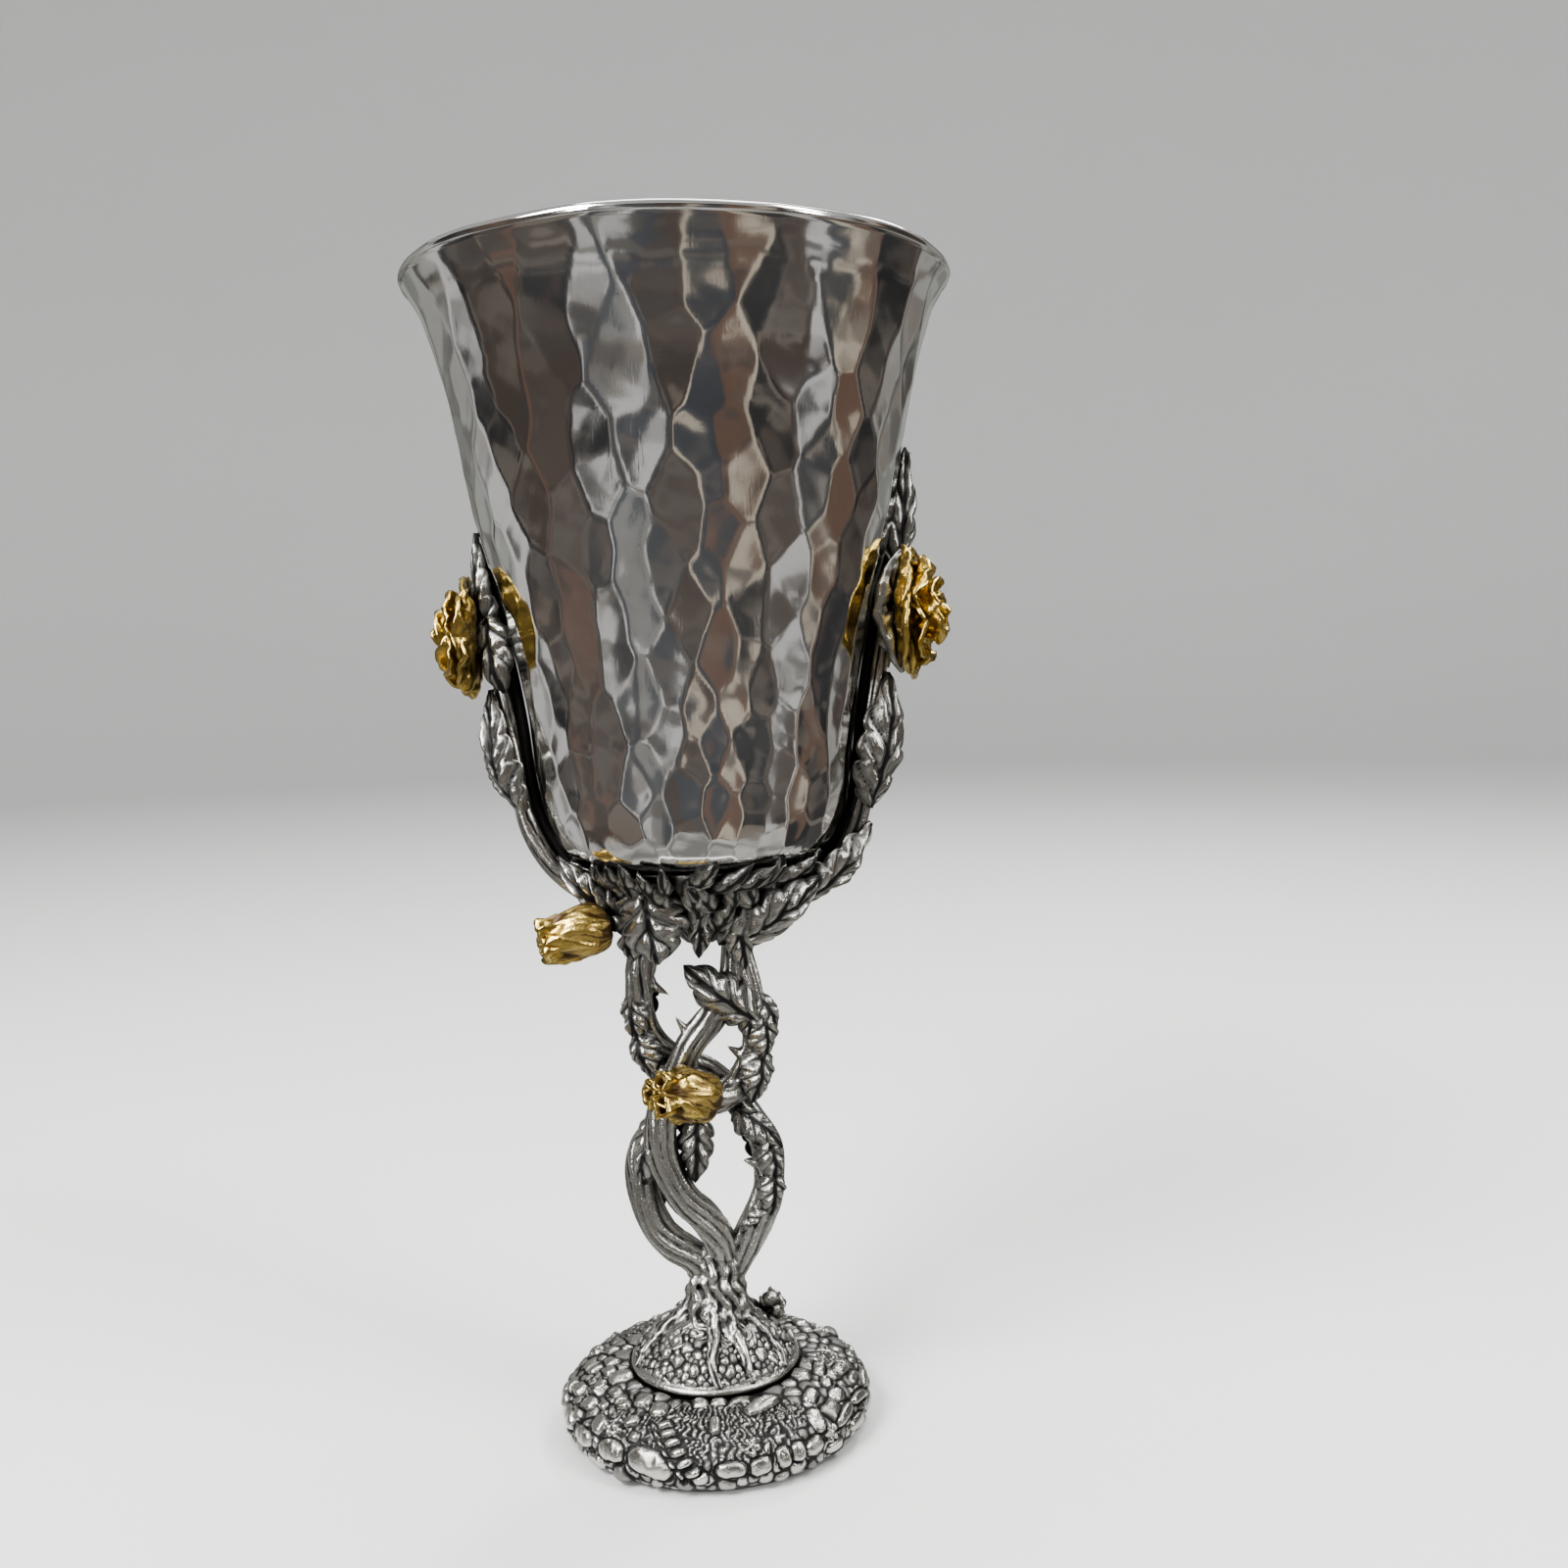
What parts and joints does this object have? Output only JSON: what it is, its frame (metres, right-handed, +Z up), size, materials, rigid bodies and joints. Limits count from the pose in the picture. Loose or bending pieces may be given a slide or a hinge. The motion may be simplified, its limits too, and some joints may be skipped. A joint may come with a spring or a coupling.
{
  "type": "kiddush cup",
  "caption": "Stemmed wine cup for blessings: a hammered flared silver beaker held by a cast rose vine with gilded flowers, on a domed foot",
  "frame": {"origin": "centre of the foot's underside, on the surface that the cup stands on", "axes": "+Z up, the cup's axis; -Y towards the front, where the two buds are; +X towards the right-hand rose"},
  "size_m": [0.0762, 0.0762, 0.165],
  "materials": {
    "hammered_silver": "hammered and mirror polished",
    "antique_silver": "cast, blackened in the hollows and polished on the heights",
    "gold_plate": "gilded, with brown hollows"
  },
  "bodies": {
    "root": {"hammered_beaker": "hammered_silver", "rose_bush_stem": "antique_silver", "foot": "antique_silver", "left_rose": "gold_plate", "right_rose": "gold_plate", "crown_bud": "gold_plate", "stem_bud": "gold_plate"}
  },
  "joints": []
}
